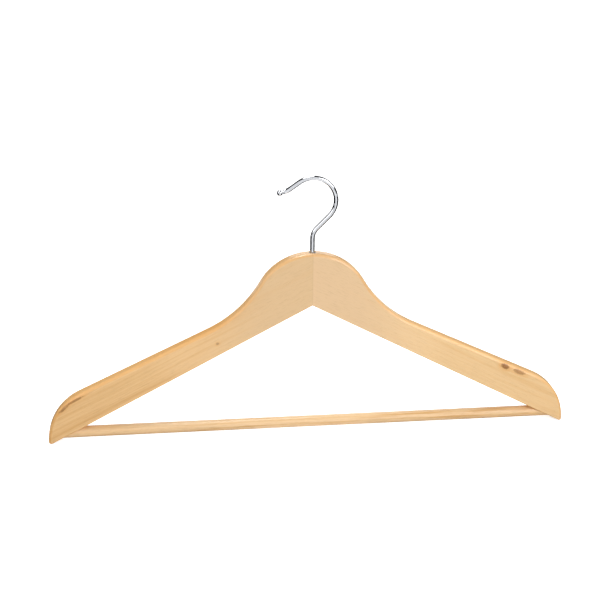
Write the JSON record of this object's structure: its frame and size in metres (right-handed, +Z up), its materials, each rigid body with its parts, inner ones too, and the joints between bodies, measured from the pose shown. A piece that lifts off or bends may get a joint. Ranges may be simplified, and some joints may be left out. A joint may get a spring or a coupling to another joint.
{
  "type": "clothes hanger",
  "caption": "Wooden suit hanger with contoured arms, a round trouser bar and a swivelling chrome wire hook.",
  "frame": {"origin": "rail seat: the highest point of the inside of the hook's arch, on the shank's axis and at mid-thickness", "axes": "+X along the arms, +Y through the thickness towards the back, +Z up along the hook's shank; the hook's mouth opens towards -X"},
  "size_m": [0.445, 0.012, 0.2257],
  "materials": {
    "lacquered_wood": "clear satin lacquer",
    "lacquered_dowel": "clear satin lacquer",
    "chrome_wire": "polished",
    "zinc_steel": "zinc plated"
  },
  "bodies": {
    "hook": {"hook": "chrome_wire"},
    "body": {"left_arm": "lacquered_wood", "right_arm": "lacquered_wood", "trouser_bar": "lacquered_dowel", "hook_bush": "zinc_steel", "left_brad": "zinc_steel", "right_brad": "zinc_steel"}
  },
  "joints": [
    {"name": "hook_swivel", "type": "hinge", "parent": "hook", "child": "body", "pos_m": [0, 0, -0.061], "axis": [0, 0, 1], "continuous": true}
  ]
}
